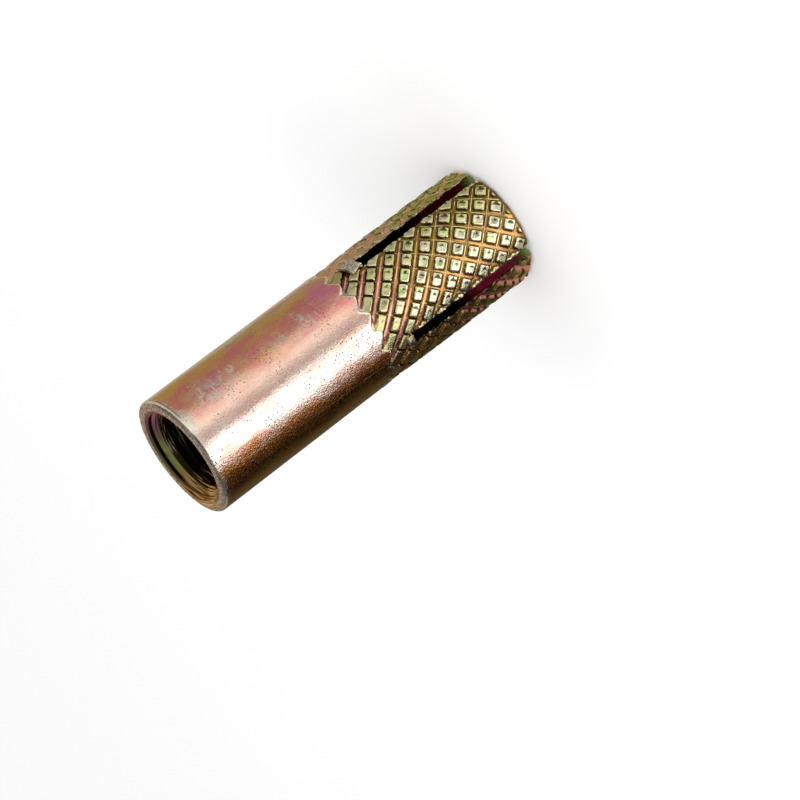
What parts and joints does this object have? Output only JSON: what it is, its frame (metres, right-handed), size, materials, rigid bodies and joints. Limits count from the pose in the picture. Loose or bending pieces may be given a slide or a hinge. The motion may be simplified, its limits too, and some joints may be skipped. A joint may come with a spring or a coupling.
{
  "type": "drop in anchor",
  "caption": "Internally threaded expansion shell with a smooth upper sleeve, knurled and slit petals below, and a cone-ended plug inside that spreads them.",
  "frame": {"origin": "on the shell's axis, in the plane of the four petal ends that it stands on", "axes": "+Z along the axis, from the slit end up to the threaded mouth; -Y halfway between two slots; +X to the right of it"},
  "size_m": [0.016, 0.016, 0.05],
  "materials": {
    "shell_plating": "yellow chromate zinc plating, half gloss, iridescent pink, gold and green",
    "plug_plating": "plain zinc plating, satin"
  },
  "bodies": {
    "root": {"anchor_shell": "shell_plating", "expander_plug": "plug_plating"}
  },
  "joints": []
}
